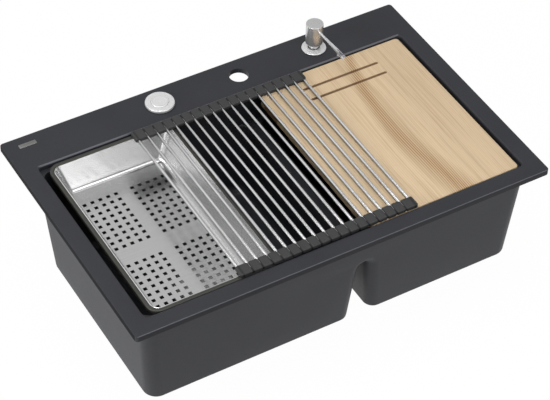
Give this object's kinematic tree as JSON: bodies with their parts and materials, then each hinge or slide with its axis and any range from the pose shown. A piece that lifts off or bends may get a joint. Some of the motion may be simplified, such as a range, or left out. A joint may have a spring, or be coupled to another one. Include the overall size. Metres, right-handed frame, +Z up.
{
  "type": "kitchen sink",
  "caption": "Inset workstation kitchen sink with a divided bowl, sliding colander, board, roll-up mat, soap dispenser and push button.",
  "frame": {"origin": "centre of the rectangular deck, on the underside of its rim, where it lies on the worktop", "axes": "+X to the right along the long side, +Y to the rear where the fittings are, +Z up out of the worktop"},
  "size_m": [0.78, 0.5, 0.34],
  "materials": {
    "stone": "matt charcoal stone composite",
    "steel": "brushed stainless steel",
    "chrome": "polished chromed brass",
    "rubber": "black rubber",
    "plastic_dark": "black moulded plastic",
    "plastic_white": "white translucent plastic",
    "rim": "dark grey moulded plastic",
    "wood": "pale oiled hardwood",
    "silicone": "dark grey silicone"
  },
  "bodies": {
    "sink": {"sink_body": "stone", "badge_plate": "steel", "button_housing": "chrome", "button_gasket": "rubber", "button_washer": "plastic_dark", "button_nut": "plastic_dark", "button_plug": "plastic_dark", "button_spring": "steel", "dispenser_collar": "chrome", "dispenser_gasket": "rubber", "dispenser_washer": "plastic_dark", "dispenser_nut": "plastic_dark", "dispenser_bottle": "plastic_white", "pump_barrel": "plastic_white", "pump_spring": "steel", "dip_tube": "plastic_white", "waste_flange_left": "steel", "waste_seal_left": "rubber", "waste_gasket_left": "rubber", "waste_cup_left": "plastic_dark", "waste_screw_left": "steel", "waste_flange_right": "steel", "waste_seal_right": "rubber", "waste_gasket_right": "rubber", "waste_cup_right": "plastic_dark", "waste_screw_right": "steel", "overflow_cover": "steel", "overflow_screw": "steel", "overflow_seal": "rubber", "overflow_elbow": "plastic_dark"},
    "button": {"button_cap": "steel", "button_clip": "steel"},
    "plug": {"strainer_plug_left": "steel", "lift_pin_left": "steel"},
    "basket": {"strainer_basket_right": "steel"},
    "pump_piston": {"pump_stem": "steel"},
    "dispenser_head": {"pump_head": "chrome", "spout": "chrome"},
    "colander": {"colander_rim": "rim", "colander_tray": "steel"},
    "board": {"cutting_board": "wood"},
    "mat_panel_1": {"mat_strips_1": "silicone", "mat_rods_1": "steel"},
    "mat_panel_2": {"mat_strips_2": "silicone", "mat_rods_2": "steel"},
    "mat_panel_3": {"mat_strips_3": "silicone", "mat_rods_3": "steel"},
    "mat_panel_4": {"mat_strips_4": "silicone", "mat_rods_4": "steel"},
    "mat_panel_5": {"mat_strips_5": "silicone", "mat_rods_5": "steel"},
    "mat_panel_6": {"mat_strips_6": "silicone", "mat_rods_6": "steel"}
  },
  "joints": [
    {"name": "plug_lift", "type": "slide", "parent": "sink", "child": "plug", "axis": [0, 0, 1], "range_m": [0, 0.01]},
    {"name": "button_press", "type": "slide", "parent": "sink", "child": "button", "axis": [0, 0, -1], "range_m": [0, 0.005], "stiffness_N_per_m": 500, "springref_m": -0.003, "deforming": ["button_spring"]},
    {"name": "pump_press", "type": "slide", "parent": "sink", "child": "pump_piston", "axis": [0, 0, -1], "range_m": [0, 0.008], "stiffness_N_per_m": 300, "springref_m": -0.015, "deforming": ["pump_spring"]},
    {"name": "spout_turn", "type": "hinge", "parent": "pump_piston", "child": "dispenser_head", "pos_m": [0.204, 0.21, 0.059], "axis": [0, 0, 1], "continuous": true},
    {"name": "basket_lift", "type": "slide", "parent": "sink", "child": "basket", "axis": [0, 0, 1], "range_m": [0, 0.04]},
    {"name": "colander_slide", "type": "slide", "parent": "sink", "child": "colander", "axis": [1, 0, 0], "range_m": [-0.012, 0.08]},
    {"name": "board_slide", "type": "slide", "parent": "sink", "child": "board", "axis": [1, 0, 0], "range_m": [-0.08, 0.006]},
    {"name": "mat_slide", "type": "slide", "parent": "sink", "child": "mat_panel_1", "axis": [1, 0, 0], "range_m": [-0.165, 0.205]},
    {"name": "mat_fold_2", "type": "hinge", "parent": "mat_panel_1", "child": "mat_panel_2", "pos_m": [-0.135, -0.026, 0.016], "axis": [0, -1, 0], "range_deg": [0, 52]},
    {"name": "mat_fold_3", "type": "hinge", "parent": "mat_panel_2", "child": "mat_panel_3", "pos_m": [-0.081, -0.026, 0.016], "axis": [0, -1, 0], "range_deg": [0, 52]},
    {"name": "mat_fold_4", "type": "hinge", "parent": "mat_panel_3", "child": "mat_panel_4", "pos_m": [-0.027, -0.026, 0.016], "axis": [0, -1, 0], "range_deg": [0, 52]},
    {"name": "mat_fold_5", "type": "hinge", "parent": "mat_panel_4", "child": "mat_panel_5", "pos_m": [0.027, -0.026, 0.016], "axis": [0, -1, 0], "range_deg": [0, 52]},
    {"name": "mat_fold_6", "type": "hinge", "parent": "mat_panel_5", "child": "mat_panel_6", "pos_m": [0.081, -0.026, 0.016], "axis": [0, -1, 0], "range_deg": [0, 52]}
  ],
  "couplings": [
    {"joint": "button_press", "follows": "plug_lift", "ratio": 0.5},
    {"joint": "mat_fold_3", "follows": "mat_fold_2", "ratio": 1},
    {"joint": "mat_fold_4", "follows": "mat_fold_2", "ratio": 1},
    {"joint": "mat_fold_5", "follows": "mat_fold_2", "ratio": 1},
    {"joint": "mat_fold_6", "follows": "mat_fold_2", "ratio": 1}
  ]
}
